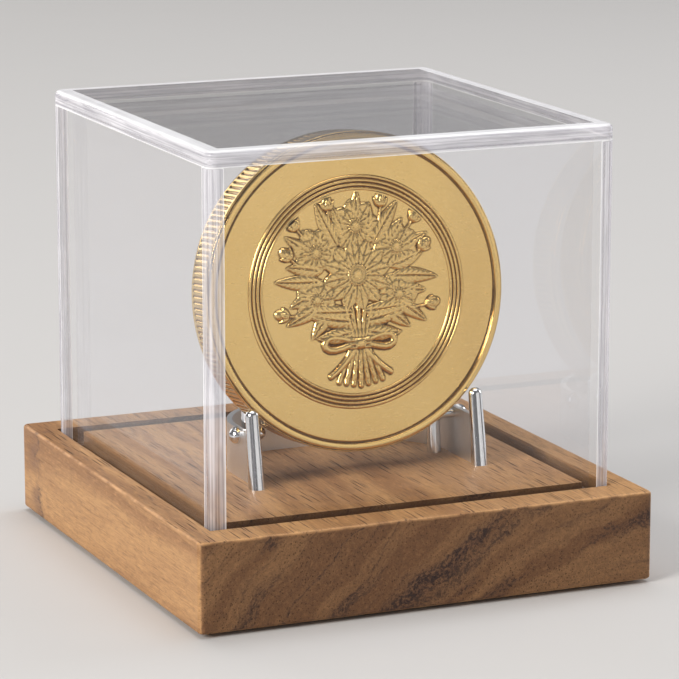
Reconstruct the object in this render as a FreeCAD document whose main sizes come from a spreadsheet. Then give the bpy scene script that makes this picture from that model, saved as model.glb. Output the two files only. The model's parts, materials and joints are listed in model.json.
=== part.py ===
import FreeCAD, Part
import os
import Sketcher

# Coin display frame: a solid wood base with a routed groove, a clear lift-off cover of five
# bonded sheets that stands in the groove, and a polished cradle that holds one thick medal.
# Origin: middle of the footprint, on the surface the pads stand on. +X right, +Y back, +Z up.

DIMENSIONS = [
    # alias, value (millimetres or degrees), meaning
    ("base_width", 120.0, "wood base, along X"),
    ("base_depth", 129.0, "wood base, along Y"),
    ("base_height", 22.4, "wood base without its pads"),
    ("base_corner", 1.5, "rounding of the base's upright edges"),
    ("base_ease", 0.8, "easing of the base's top and bottom edges"),
    ("pad_height", 1.0, "thickness of a foot pad"),
    ("pad_radius", 7.0, "radius of a foot pad"),
    ("pad_inset", 15.0, "pad centre to the base's side"),
    ("cover_width", 106.5, "outside of the clear cover, along X"),
    ("cover_depth", 109.5, "outside of the clear cover, along Y"),
    ("cover_height", 94.5, "clear cover, open edge to top"),
    ("cover_wall", 4.0, "thickness of the clear sheet"),
    ("cover_corner", 2.5, "rounding of the cover's upright edges"),
    ("groove_play", 0.3, "gap between the cover and the groove's outer wall"),
    ("groove_width", 5.5, "width of the routed groove"),
    ("groove_depth", 4.0, "depth of the routed groove"),
    ("coin_diameter", 80.5, "outside of the medal's edge"),
    ("coin_thickness", 12.0, "medal, rim to rim"),
    ("coin_lean", 6.3, "how far the medal leans back, degrees"),
    ("coin_face_y", -15.7, "middle of the medal's front, along Y"),
    ("coin_face_height", 69.1, "middle of the medal's front, above the table"),
    ("coin_rim_width", 1.8, "width of the raised rim"),
    ("coin_rim_height", 0.5, "rim above the field"),
    ("coin_edge_bevel", 0.4, "bevel on the rim's outer corner"),
    ("ring_inner", 25.8, "inner radius of the innermost raised ring"),
    ("ring_pitch", 1.05, "step from one raised ring to the next"),
    ("ring_line", 0.5, "width of one raised ring"),
    ("ring_height", 0.25, "raised ring above the field"),
    ("stand_x", 2.0, "cradle's centre line, along X"),
    ("prong_spread", 30.5, "front prong to the cradle's centre line"),
    ("prong_foot_y", -23.05, "middle of a front prong's foot, along Y"),
    ("prong_lean", 9.4, "how far a front prong leans back, degrees"),
    ("prong_length", 19.6, "front prong along its axis, foot to crown"),
    ("prong_foot_radius", 2.15, "front prong at its foot"),
    ("prong_top_radius", 1.7, "front prong under its crown"),
    ("post_spread", 25.5, "rear post to the cradle's centre line"),
    ("post_length", 31.0, "rear post along its axis, foot to crown"),
    ("post_radius", 1.8, "rear post"),
    ("coin_gap", 0.25, "running gap between the medal and what holds it"),
    ("crossbar_radius", 1.3, "bar between the rear posts"),
    ("crossbar_up", 27.0, "crossbar above the foot, along the posts"),
    ("band_half_width", 30.5, "cradle band, outside to the centre line"),
    ("band_front_y", -21.7, "open ends of the cradle band, inside the prongs"),
    ("band_back_y", 13.0, "back of the cradle band, along Y"),
    ("band_corner", 20.0, "outside radius of the band's two bends"),
    ("band_sheet", 1.4, "thickness of the band"),
    ("band_height", 12.5, "height of the band"),
    ("pin_y", -10.4, "rest pin, along Y"),
    ("pin_up", 10.7, "rest pin's axis above the wood"),
    ("pin_reach", 24.55, "middle of a rest pin's ball to the centre line"),
    ("pin_ball_radius", 1.6, "ball that carries the medal's edge"),
    ("pin_shank_radius", 1.1, "rest pin in the band"),
    ("pin_head_radius", 2.2, "domed head outside the band"),
    ("screw_radius", 1.0, "screw shank"),
    ("screw_bite", 4.0, "screw inside a foot"),
    ("screw_hole_radius", 1.1, "clearance hole in the wood"),
    ("screw_head_radius", 2.2, "screw head"),
    ("screw_head_height", 1.6, "screw head"),
    ("screw_slot", 0.6, "width and depth of the driver slot"),
    ("counterbore_radius", 3.2, "counterbore under the base"),
    ("counterbore_depth", 12.0, "counterbore under the base"),
    ("washer_radius", 2.9, "washer under a screw head"),
    ("washer_height", 0.5, "washer under a screw head"),
]

RING_COUNT = 4
SIDES = (("left", -1), ("right", 1))
ROUND = 360.0
SPARE = 1.0  # how far a tool or a rod runs past the face that trims it
TRIM_BLOCK = 20.0  # side of the block that trims a leaning rod's foot

doc = FreeCAD.newDocument("CoinDisplayFrame")
sheet = doc.addObject("Spreadsheet::Sheet", "Sizes")
for row, (alias, value, meaning) in enumerate(DIMENSIONS, start=1):
    sheet.set("A%d" % row, alias)
    sheet.set("B%d" % row, str(value))
    sheet.set("C%d" % row, meaning)
    sheet.setAlias("B%d" % row, alias)
doc.recompute()

# Heights and places that several pieces share, as expressions on the sheet's cells.
WOOD_TOP = "(Sizes.pad_height + Sizes.base_height)"
GROOVE_FLOOR = "(%s - Sizes.groove_depth)" % WOOD_TOP
COVER_TOP = "(%s + Sizes.cover_height)" % GROOVE_FLOOR
SHOULDER = "(Sizes.pad_height + Sizes.counterbore_depth)"
COIN_FRONT_AT_WOOD = (
    "(Sizes.coin_face_y - (Sizes.coin_face_height - %s) * tan(Sizes.coin_lean))" % WOOD_TOP
)
COIN_TO_POST = "(Sizes.coin_thickness + Sizes.coin_gap + Sizes.post_radius)"
POST_FOOT_Y = "(%s + %s / cos(Sizes.coin_lean))" % (COIN_FRONT_AT_WOOD, COIN_TO_POST)


def bind(obj, **expressions):
    """Bind properties to expressions; a double underscore in a key stands for a dot."""
    for key, expression in expressions.items():
        obj.setExpression(key.replace("__", "."), str(expression))
    return obj


def place(obj, x="0", y="0", z="0"):
    """Bind where an object stands."""
    return bind(obj, Placement__Base__x=x, Placement__Base__y=y, Placement__Base__z=z)


def tilt(obj, axis, angle):
    """Turn an object about an axis of its own by a bound angle."""
    obj.Placement = FreeCAD.Placement(obj.Placement.Base, FreeCAD.Rotation(FreeCAD.Vector(*axis), 1.0))
    return bind(obj, Placement__Rotation__Angle=angle)


def primitive(kind, name, **expressions):
    """A Part primitive with bound sizes."""
    return bind(doc.addObject("Part::" + kind, name), **expressions)


def join(name, *shapes):
    """Several shapes made one solid."""
    fuse = doc.addObject("Part::MultiFuse", name)
    fuse.Shapes = list(shapes)
    return fuse


def cut(name, base, tool):
    """One shape with another taken out of it."""
    result = doc.addObject("Part::Cut", name)
    result.Base = base
    result.Tool = tool
    return result


def new_body(name):
    """An empty PartDesign body."""
    return doc.addObject("PartDesign::Body", name)


def sketch_on(body, name, offset=None):
    """A sketch on the body's own XY plane, raised along its normal by a bound offset."""
    plane = next(item for item in body.Origin.OriginFeatures if item.Role == "XY_Plane")
    sketch = body.newObject("Sketcher::SketchObject", name)
    sketch.AttachmentSupport = [(plane, "")]
    sketch.MapMode = "FlatFace"
    if offset:
        bind(sketch, AttachmentOffset__Base__z=offset)
    return sketch


def add_rectangle(sketch, width, depth):
    """A rectangle about the sketch's origin; both sizes are expressions."""
    corners = [FreeCAD.Vector(px, py, 0) for px, py in ((-1, -1), (1, -1), (1, 1), (-1, 1))]
    first = sketch.GeometryCount
    for side in range(4):
        sketch.addGeometry(Part.LineSegment(corners[side], corners[(side + 1) % 4]), False)
    for side in range(4):
        following = first + (side + 1) % 4
        sketch.addConstraint(Sketcher.Constraint("Coincident", first + side, 2, following, 1))
    for side, direction in enumerate(("Horizontal", "Vertical", "Horizontal", "Vertical")):
        sketch.addConstraint(Sketcher.Constraint(direction, first + side))
    bounds = (
        ("DistanceX", first, 1, "-1 * %s / 2" % width),
        ("DistanceY", first, 1, "-1 * %s / 2" % depth),
        ("DistanceX", first + 1, 2, "%s / 2" % width),
        ("DistanceY", first + 1, 2, "%s / 2" % depth),
    )
    for kind, line, end, expression in bounds:
        number = sketch.addConstraint(Sketcher.Constraint(kind, -1, 1, line, end, 1.0))
        sketch.setExpression("Constraints[%d]" % number, expression)


def add_circle(sketch, x, y, radius):
    """A circle with its middle at x, y; all three are expressions."""
    round_edge = Part.Circle(FreeCAD.Vector(1, 1, 0), FreeCAD.Vector(0, 0, 1), 1.0)
    circle = sketch.addGeometry(round_edge, False)
    for kind, expression in (("DistanceX", x), ("DistanceY", y)):
        number = sketch.addConstraint(Sketcher.Constraint(kind, -1, 1, circle, 3, 1.0))
        sketch.setExpression("Constraints[%d]" % number, expression)
    number = sketch.addConstraint(Sketcher.Constraint("Radius", circle, 1.0))
    sketch.setExpression("Constraints[%d]" % number, radius)


def pad(body, sketch, name, length, middle=False):
    """A pad of bound length."""
    feature = body.newObject("PartDesign::Pad", name)
    feature.Profile = sketch
    feature.Midplane = middle
    return bind(feature, Length=length)


def pocket(body, sketch, name, depth, reverse=False):
    """A pocket of bound depth; it has to take something away."""
    before = body.Shape.Volume
    feature = body.newObject("PartDesign::Pocket", name)
    feature.Profile = sketch
    feature.Reversed = reverse
    bind(feature, Length=depth)
    doc.recompute()
    if feature.Shape.Volume >= before:
        raise RuntimeError("%s cuts nothing" % name)
    return feature


def dress(body, kind, name, chosen, **expressions):
    """A fillet or chamfer on the edges of the body's tip that the test chooses."""
    doc.recompute()
    tip = body.Tip
    edges = ["Edge%d" % (i + 1) for i, edge in enumerate(tip.Shape.Edges) if chosen(edge)]
    feature = body.newObject("PartDesign::" + kind, name)
    feature.Base = (tip, edges)
    bind(feature, **expressions)
    doc.recompute()
    return feature


def upright(edge):
    """True for an edge that runs along Z."""
    ends = [vertex.Point for vertex in edge.Vertexes]
    return len(ends) == 2 and abs(ends[0].x - ends[1].x) + abs(ends[0].y - ends[1].y) < 1e-6


def foot_places():
    """The four cradle feet as expressions: name, x and y."""
    for side, sign in SIDES:
        yield "front_" + side, "Sizes.stand_x + %d * Sizes.prong_spread" % sign, "Sizes.prong_foot_y"
        yield "rear_" + side, "Sizes.stand_x + %d * Sizes.post_spread" % sign, POST_FOOT_Y


def base_block():
    """Solid wood block: routed groove on top, four counterbored screw holes from below."""
    body = new_body("base_block")
    place(body, z="Sizes.pad_height")
    outline = sketch_on(body, "base_outline")
    add_rectangle(outline, "Sizes.base_width", "Sizes.base_depth")
    pad(body, outline, "base_pad", "Sizes.base_height")
    dress(body, "Fillet", "base_corners", upright, Radius="Sizes.base_corner")
    dress(body, "Fillet", "base_eased", lambda edge: not upright(edge), Radius="Sizes.base_ease")
    groove = sketch_on(body, "groove_outline", offset="Sizes.base_height")
    outer_x = "(Sizes.cover_width + 2 * Sizes.groove_play)"
    outer_y = "(Sizes.cover_depth + 2 * Sizes.groove_play)"
    add_rectangle(groove, outer_x, outer_y)
    add_rectangle(groove, "(%s - 2 * Sizes.groove_width)" % outer_x,
                  "(%s - 2 * Sizes.groove_width)" % outer_y)
    pocket(body, groove, "groove", "Sizes.groove_depth")
    holes = sketch_on(body, "screw_holes_outline")
    bores = sketch_on(body, "counterbores_outline")
    for _, x, y in foot_places():
        add_circle(holes, x, y, "Sizes.screw_hole_radius")
        add_circle(bores, x, y, "Sizes.counterbore_radius")
    pocket(body, holes, "screw_holes", "Sizes.base_height", reverse=True)
    pocket(body, bores, "counterbores", "Sizes.counterbore_depth", reverse=True)
    return body


def foot_pads():
    """Four thin pads under the base, one near each corner."""
    pads = []
    for end, sign_y in (("front", -1), ("back", 1)):
        for side, sign_x in SIDES:
            disc = primitive("Cylinder", "foot_pad_%s_%s" % (end, side), Radius="Sizes.pad_radius",
                             Height="Sizes.pad_height")
            place(disc, "%d * (Sizes.base_width / 2 - Sizes.pad_inset)" % sign_x,
                  "%d * (Sizes.base_depth / 2 - Sizes.pad_inset)" % sign_y)
            pads.append(disc)
    return pads


def cover_sheet(name, width, depth, height, y, z, rounded, x="0"):
    """One bonded sheet of the cover, with its outer upright edges rounded where it has any."""
    body = new_body(name)
    place(body, x, y, z)
    outline = sketch_on(body, name + "_outline")
    add_rectangle(outline, width, depth)
    pad(body, outline, name + "_pad", height)
    if rounded:
        dress(body, "Fillet", name + "_corners", lambda edge: upright(edge) and rounded(edge),
              Radius="Sizes.cover_corner")
    return body


def cover():
    """Top sheet on four walls: the front and back run full width, the sides fit between them."""
    wall_height = "(Sizes.cover_height - Sizes.cover_wall)"
    far_y = "(Sizes.cover_depth / 2 - Sizes.cover_wall / 2)"
    far_x = "(Sizes.cover_width / 2 - Sizes.cover_wall / 2)"
    side_depth = "(Sizes.cover_depth - 2 * Sizes.cover_wall)"
    top_z = "%s - Sizes.cover_wall" % COVER_TOP
    return [
        cover_sheet("cover_top_panel", "Sizes.cover_width", "Sizes.cover_depth", "Sizes.cover_wall",
                    "0", top_z, lambda edge: True),
        cover_sheet("cover_front_panel", "Sizes.cover_width", "Sizes.cover_wall", wall_height,
                    "-" + far_y, GROOVE_FLOOR, lambda edge: edge.CenterOfMass.y < 0),
        cover_sheet("cover_back_panel", "Sizes.cover_width", "Sizes.cover_wall", wall_height,
                    far_y, GROOVE_FLOOR, lambda edge: edge.CenterOfMass.y > 0),
        cover_sheet("cover_left_panel", "Sizes.cover_wall", side_depth, wall_height,
                    "0", GROOVE_FLOOR, None, "-" + far_x),
        cover_sheet("cover_right_panel", "Sizes.cover_wall", side_depth, wall_height,
                    "0", GROOVE_FLOOR, None, far_x),
    ]


def leaning_rod(name, x, y, lean, length, foot_radius, top_radius):
    """A round rod with a domed crown that leans back, its foot cut flush with the wood and drilled."""
    cone = primitive("Cone", name + "_shaft", Radius1=foot_radius, Radius2=top_radius,
                     Height="%s - %s + %s" % (length, top_radius, SPARE), Angle=ROUND)
    place(cone, z="-%s" % SPARE)
    crown = primitive("Sphere", name + "_crown", Radius=top_radius)
    place(crown, z="%s - %s" % (length, top_radius))
    rod = join(name + "_rod", cone, crown)
    place(rod, x, y, WOOD_TOP)
    tilt(rod, (1, 0, 0), "-1 * %s" % lean)
    wood = primitive("Box", name + "_wood", Length=TRIM_BLOCK, Width=TRIM_BLOCK, Height=TRIM_BLOCK)
    place(wood, "%s - %s" % (x, TRIM_BLOCK / 2), "%s - %s" % (y, TRIM_BLOCK / 2),
          "%s - %s" % (WOOD_TOP, TRIM_BLOCK))
    flush = cut(name + "_flush", rod, wood)
    hole = primitive("Cylinder", name + "_hole", Radius="Sizes.screw_radius", Height="Sizes.screw_bite")
    place(hole, x, y, WOOD_TOP)
    return cut(name, flush, hole)


def front_prongs():
    """Two tapered prongs whose crowns stop the medal from sliding forward."""
    return [
        leaning_rod("front_prong_" + side, "Sizes.stand_x + %d * Sizes.prong_spread" % sign,
                    "Sizes.prong_foot_y", "Sizes.prong_lean", "Sizes.prong_length",
                    "Sizes.prong_foot_radius", "Sizes.prong_top_radius")
        for side, sign in SIDES
    ]


def rear_posts():
    """Two straight posts parallel to the medal's back, which it leans on."""
    return [
        leaning_rod("rear_post_" + side, "Sizes.stand_x + %d * Sizes.post_spread" % sign,
                    POST_FOOT_Y, "Sizes.coin_lean", "Sizes.post_length",
                    "Sizes.post_radius", "Sizes.post_radius")
        for side, sign in SIDES
    ]


def rear_crossbar(posts):
    """A bar between the rear posts, coped to their round sides."""
    bar = primitive("Cylinder", "rear_crossbar_bar", Radius="Sizes.crossbar_radius",
                    Height="2 * Sizes.post_spread")
    place(bar, "Sizes.stand_x - Sizes.post_spread",
          "%s + Sizes.crossbar_up * sin(Sizes.coin_lean)" % POST_FOOT_Y,
          "%s + Sizes.crossbar_up * cos(Sizes.coin_lean)" % WOOD_TOP)
    tilt(bar, (0, 1, 0), "90")
    return cut("rear_crossbar", bar, join("rear_crossbar_ends", *posts))


def cradle_band(prongs):
    """A strip bent into a U round the back of the cradle, its two ends joined to the prongs."""
    body = new_body("cradle_band_strip")
    place(body, "Sizes.stand_x", "(Sizes.band_back_y + Sizes.band_front_y) / 2", WOOD_TOP)
    outline = sketch_on(body, "band_outline")
    add_rectangle(outline, "2 * Sizes.band_half_width", "(Sizes.band_back_y - Sizes.band_front_y)")
    pad(body, outline, "band_pad", "Sizes.band_height")
    dress(body, "Fillet", "band_bends", lambda edge: upright(edge) and edge.CenterOfMass.y > 0,
          Radius="Sizes.band_corner")
    core = new_body("cradle_band_core")
    place(core, "Sizes.stand_x",
          "(Sizes.band_back_y + Sizes.band_front_y) / 2 - Sizes.band_sheet", WOOD_TOP)
    inner = sketch_on(core, "band_core_outline")
    add_rectangle(inner, "2 * (Sizes.band_half_width - Sizes.band_sheet)",
                  "(Sizes.band_back_y - Sizes.band_front_y)")
    pad(core, inner, "band_core_pad", "Sizes.band_height")
    dress(core, "Fillet", "band_core_bends", lambda edge: upright(edge) and edge.CenterOfMass.y > 0,
          Radius="Sizes.band_corner - Sizes.band_sheet")
    strip = cut("cradle_band_bent", body, core)
    pin_hole = primitive("Cylinder", "cradle_band_pin_hole", Radius="Sizes.pin_shank_radius",
                         Height="2 * (Sizes.band_half_width + %s)" % SPARE)
    place(pin_hole, "Sizes.stand_x - Sizes.band_half_width - %s" % SPARE, "Sizes.pin_y",
          "%s + Sizes.pin_up" % WOOD_TOP)
    tilt(pin_hole, (0, 1, 0), "90")
    drilled = cut("cradle_band_drilled", strip, pin_hole)
    return cut("cradle_band", drilled, join("cradle_band_ends", *prongs))


def rest_pins():
    """Two pins through the band: a domed head outside, a ball inside under the medal's edge."""
    pins = []
    for side, sign in SIDES:
        name = "rest_pin_" + side
        shank = primitive("Cylinder", name + "_shank", Radius="Sizes.pin_shank_radius",
                          Height="Sizes.band_half_width - Sizes.pin_reach")
        place(shank, z="Sizes.pin_reach")
        ball = primitive("Sphere", name + "_ball", Radius="Sizes.pin_ball_radius")
        place(ball, z="Sizes.pin_reach")
        head = primitive("Sphere", name + "_head", Radius="Sizes.pin_head_radius")
        head.Angle1 = 0
        place(head, z="Sizes.band_half_width")
        pin = join(name, shank, ball, head)
        place(pin, "Sizes.stand_x", "Sizes.pin_y", "%s + Sizes.pin_up" % WOOD_TOP)
        tilt(pin, (0, 1, 0), "%d" % (90 * sign))
        pins.append(pin)
    return pins


def screws():
    """Four slotted screws that hold the cradle's feet down from below, as one group."""
    group = doc.addObject("Part::Compound", "cradle_screws")
    links = []
    for place_name, x, y in foot_places():
        name = "screw_" + place_name
        reach = "(%s + Sizes.screw_bite - %s + Sizes.washer_height)" % (WOOD_TOP, SHOULDER)
        shank = primitive("Cylinder", name + "_shank", Radius="Sizes.screw_radius", Height=reach)
        head = primitive("Cylinder", name + "_head", Radius="Sizes.screw_head_radius",
                         Height="Sizes.screw_head_height")
        place(head, z="-Sizes.screw_head_height")
        slot = primitive("Box", name + "_slot", Length="4 * Sizes.screw_head_radius",
                         Width="Sizes.screw_slot", Height="Sizes.screw_slot")
        place(slot, "-2 * Sizes.screw_head_radius", "-Sizes.screw_slot / 2", "-Sizes.screw_head_height")
        screw = cut(name, join(name + "_blank", shank, head), slot)
        links.append(place(screw, x, y, "%s - Sizes.washer_height" % SHOULDER))
    group.Links = links
    return group


def washers():
    """Four washers under the screw heads, as one group."""
    group = doc.addObject("Part::Compound", "screw_washers")
    links = []
    for place_name, x, y in foot_places():
        name = "washer_" + place_name
        disc = primitive("Cylinder", name + "_disc", Radius="Sizes.washer_radius",
                         Height="Sizes.washer_height")
        eye = primitive("Cylinder", name + "_eye", Radius="Sizes.screw_hole_radius",
                        Height="Sizes.washer_height")
        links.append(place(cut(name, disc, eye), x, y, "%s - Sizes.washer_height" % SHOULDER))
    group.Links = links
    return group


def coin():
    """Thick struck medal: raised rim on both faces, four fine raised rings round its device."""
    body = new_body("coin")
    place(body, "Sizes.stand_x",
          "Sizes.coin_face_y + Sizes.coin_thickness / 2 * cos(Sizes.coin_lean)",
          "Sizes.coin_face_height - Sizes.coin_thickness / 2 * sin(Sizes.coin_lean)")
    tilt(body, (1, 0, 0), "90 - Sizes.coin_lean")
    blank = sketch_on(body, "coin_outline")
    add_circle(blank, "0", "0", "Sizes.coin_diameter / 2")
    pad(body, blank, "coin_blank", "Sizes.coin_thickness", middle=True)
    dress(body, "Chamfer", "coin_bevel", lambda edge: not upright(edge), Size="Sizes.coin_edge_bevel")
    face = "Sizes.coin_thickness / 2"
    for name, level, reverse in (("front", face, False), ("back", "-1 * " + face, True)):
        field = sketch_on(body, "coin_%s_field_outline" % name, offset=level)
        add_circle(field, "0", "0", "Sizes.coin_diameter / 2 - Sizes.coin_rim_width")
        pocket(body, field, "coin_%s_field" % name, "Sizes.coin_rim_height", reverse)
        rings = sketch_on(body, "coin_%s_rings_outline" % name,
                          offset="%s%s * Sizes.coin_rim_height" % (level, " + 1" if reverse else " - 1"))
        for ring in range(RING_COUNT):
            inner = "Sizes.ring_inner + %d * Sizes.ring_pitch" % ring
            add_circle(rings, "0", "0", inner)
            add_circle(rings, "0", "0", "%s + Sizes.ring_line" % inner)
        raised = pad(body, rings, "coin_%s_rings" % name, "Sizes.ring_height")
        raised.Reversed = reverse
    return body


def write_parts(pieces):
    """Check every object and every piece, then write one file for each piece."""
    doc.recompute()
    failed = [obj.Name for obj in doc.Objects if "Invalid" in obj.State or "Error" in obj.State]
    if failed:
        raise RuntimeError("failed objects: %s" % ", ".join(failed))
    for piece in pieces:
        if piece.Shape.isNull() or not piece.Shape.isValid():
            raise RuntimeError("bad shape: %s" % piece.Label)
    os.makedirs("parts", exist_ok=True)
    for piece in pieces:
        piece.Shape.exportStep("parts/%s.step" % piece.Label)
        box = piece.Shape.BoundBox
        print("%-24s %2d solid(s) %10.1f mm3  z %.2f to %.2f" % (
            piece.Label, len(piece.Shape.Solids), piece.Shape.Volume, box.ZMin, box.ZMax))


prongs = front_prongs()
posts = rear_posts()
sub_parts = [base_block()] + foot_pads() + cover() + prongs + posts
sub_parts += [rear_crossbar(posts), cradle_band(prongs)] + rest_pins()
sub_parts += [screws(), washers(), coin()]
write_parts(sub_parts)
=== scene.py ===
"""Dresses the coin display frame: wood base, clear cover, chrome cradle and struck medal."""

import json
import math

import bpy
import numpy as np
from bpy.props import FloatProperty, FloatVectorProperty, IntProperty, PointerProperty
from mathutils import Matrix, Vector


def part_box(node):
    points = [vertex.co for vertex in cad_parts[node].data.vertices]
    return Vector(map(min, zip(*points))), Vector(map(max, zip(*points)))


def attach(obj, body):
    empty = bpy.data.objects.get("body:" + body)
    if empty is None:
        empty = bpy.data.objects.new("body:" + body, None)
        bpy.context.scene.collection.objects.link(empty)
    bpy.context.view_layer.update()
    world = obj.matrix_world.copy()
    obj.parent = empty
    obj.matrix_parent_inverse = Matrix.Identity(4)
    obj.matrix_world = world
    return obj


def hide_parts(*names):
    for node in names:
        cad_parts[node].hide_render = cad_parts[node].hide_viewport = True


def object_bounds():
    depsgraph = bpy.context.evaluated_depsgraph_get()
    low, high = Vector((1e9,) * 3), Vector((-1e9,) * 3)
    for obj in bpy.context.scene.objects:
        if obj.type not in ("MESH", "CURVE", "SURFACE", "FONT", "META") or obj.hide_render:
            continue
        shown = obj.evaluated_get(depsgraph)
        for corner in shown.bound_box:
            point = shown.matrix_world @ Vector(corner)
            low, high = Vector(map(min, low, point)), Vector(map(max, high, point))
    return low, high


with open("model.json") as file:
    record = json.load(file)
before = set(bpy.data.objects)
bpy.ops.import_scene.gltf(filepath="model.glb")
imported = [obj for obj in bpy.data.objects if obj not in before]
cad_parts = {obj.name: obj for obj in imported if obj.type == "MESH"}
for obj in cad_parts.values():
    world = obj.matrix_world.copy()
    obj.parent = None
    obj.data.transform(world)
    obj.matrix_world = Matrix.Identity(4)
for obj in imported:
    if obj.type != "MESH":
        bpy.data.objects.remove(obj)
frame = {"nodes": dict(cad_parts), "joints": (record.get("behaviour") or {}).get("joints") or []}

bl_info = {
    "name": "Coin Display Frame",
    "version": (1, 0, 0),
    "blender": (4, 5, 0),
    "location": "3D View > Sidebar > Coin Frame",
    "description": "Builds the looks of a coin display frame around its packed parts",
    "category": "Add Mesh",
}

CAD_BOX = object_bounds()
MM = 0.001
PAD_NODES = [name for name in sorted(frame["nodes"]) if name.startswith("foot_pad")]
COVER_NODES = [name for name in sorted(frame["nodes"]) if name.startswith("cover_")]
CHROME_NODES = [
    "front_prong_left", "front_prong_right", "rear_post_left", "rear_post_right",
    "rear_crossbar", "cradle_band", "rest_pin_left", "rest_pin_right",
]
FASTENER_NODES = ["cradle_screws", "screw_washers"]
COIN_JOINT = next(joint for joint in frame["joints"] if joint["name"] == "coin_turn")
FRONT_CELLS = 288      # the design's grid, across the medal's front
BACK_CELLS = 200
REED_STEPS = 7         # points round each groove of the edge
EDGE_WIDTH = 0.5       # mm from the rim's foot to the edge
RIM_ROWS = 13          # rows of the face's profile that take the brighter finish
EASE_STEPS = 6         # rows round the cover's top edge
INNER_CORNER = 0.15 * MM
INNER_STOP = 0.4 * MM
FLAT = 0.999           # a part of a normal past this makes a flat face


# --- Shader expressions ---

class Value:
    """A shader socket that can stand in an expression."""

    def __init__(self, finish, socket):
        self.finish = finish
        self.socket = socket

    def __add__(self, other):
        return self.finish.maths("ADD", self, other)

    __radd__ = __add__

    def __sub__(self, other):
        return self.finish.maths("SUBTRACT", self, other)

    def __rsub__(self, other):
        return self.finish.maths("SUBTRACT", other, self)

    def __mul__(self, other):
        return self.finish.maths("MULTIPLY", self, other)

    __rmul__ = __mul__

    def __truediv__(self, other):
        return self.finish.maths("DIVIDE", self, other)

    def __pow__(self, other):
        return self.finish.maths("POWER", self, other)

    def __abs__(self):
        return self.finish.maths("ABSOLUTE", self)


class Finish:
    """A material being put together, with one method for each kind of step."""

    def __init__(self, name):
        self.material = bpy.data.materials.new(name)
        self.material.use_nodes = True
        self.tree = self.material.node_tree
        self.tree.nodes.clear()
        self.end = self.tree.nodes.new("ShaderNodeOutputMaterial")

    def node(self, kind, settings=None, sockets=None, output=0):
        """Adds a node: its settings first, then its sockets' values or links."""
        made = self.tree.nodes.new(kind)
        for key, setting in (settings or {}).items():
            setattr(made, key, setting)
        for key, given in (sockets or {}).items():
            socket = made.inputs[key]
            if isinstance(given, Value):
                self.tree.links.new(given.socket, socket)
            else:
                socket.default_value = given
        if isinstance(output, tuple):
            return tuple(Value(self, made.outputs[key]) for key in output)
        return Value(self, made.outputs[output])

    def maths(self, operation, *values):
        return self.node("ShaderNodeMath", {"operation": operation}, dict(enumerate(values)))

    def least(self, first, second):
        return self.maths("MINIMUM", first, second)

    def most(self, first, second):
        return self.maths("MAXIMUM", first, second)

    def vector(self, operation, first, second):
        return self.node("ShaderNodeVectorMath", {"operation": operation}, {0: first, 1: second})

    def step(self, value, low, high):
        """0 below low, 1 above high, and smooth between them."""
        return self.node(
            "ShaderNodeMapRange",
            {"interpolation_type": "SMOOTHSTEP"},
            {"Value": value, "From Min": low, "From Max": high},
        )

    def fade(self, value, low, high):
        """1 below low, 0 above high, and smooth between them."""
        return 1.0 - self.step(value, low, high)

    def mix(self, factor, first, second, blend="MIX"):
        """A colour between first and second."""
        colours = {6: first, 7: second}
        for key, colour in colours.items():
            if not isinstance(colour, Value):
                colours[key] = (*colour[:3], 1.0)
        settings = {"data_type": "RGBA", "blend_type": blend}
        return self.node("ShaderNodeMix", settings, {0: factor, **colours}, 2)

    def place(self):
        """The point on the piece, in millimetres of its own frame."""
        point = self.node("ShaderNodeTexCoord", output="Object")
        return self.vector("MULTIPLY", point, (1 / MM, 1 / MM, 1 / MM))

    def parts(self, vector):
        return self.node("ShaderNodeSeparateXYZ", None, {0: vector}, ("X", "Y", "Z"))

    def whole(self, x, y, z):
        return self.node("ShaderNodeCombineXYZ", None, {0: x, 1: y, 2: z})

    def noise(self, vector, scale=1.0, detail=3.0, rough=0.55):
        sockets = {"Vector": vector, "Scale": scale, "Detail": detail, "Roughness": rough}
        return self.node("ShaderNodeTexNoise", {"noise_dimensions": "3D"}, sockets)

    def cells(self, vector):
        """The distance to the nearest of many scattered points."""
        sockets = {"Vector": vector, "Scale": 1.0}
        return self.node("ShaderNodeTexVoronoi", {"feature": "F1"}, sockets, "Distance")

    def bump(self, height, depth, strength=1.0):
        sockets = {"Height": height, "Distance": depth, "Strength": strength}
        return self.node("ShaderNodeBump", None, sockets)

    def principled(self, **sockets):
        """Socket names are given with underscores for spaces."""
        named = {}
        for key, given in sockets.items():
            name = key.replace("_", " ")
            if name == "Base Color" and not isinstance(given, Value):
                given = (*given[:3], 1.0)
            named[name] = given
        return self.node("ShaderNodeBsdfPrincipled", None, named)

    def done(self, shader):
        self.tree.links.new(shader.socket, self.end.inputs["Surface"])
        return self.material


# --- Sizes and colours ---

def length_property(name, description, default):
    return FloatProperty(
        name=name, description=description, default=default, min=0.0,
        subtype="DISTANCE", unit="LENGTH", precision=5,
    )


def colour_property(name, description, default):
    return FloatVectorProperty(
        name=name, description=description, default=default, size=3,
        subtype="COLOR", min=0.0, max=1.0,
    )


def share_property(name, description, default):
    return FloatProperty(name=name, description=description, default=default, min=0.0, max=1.0,
                         subtype="FACTOR")


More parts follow.
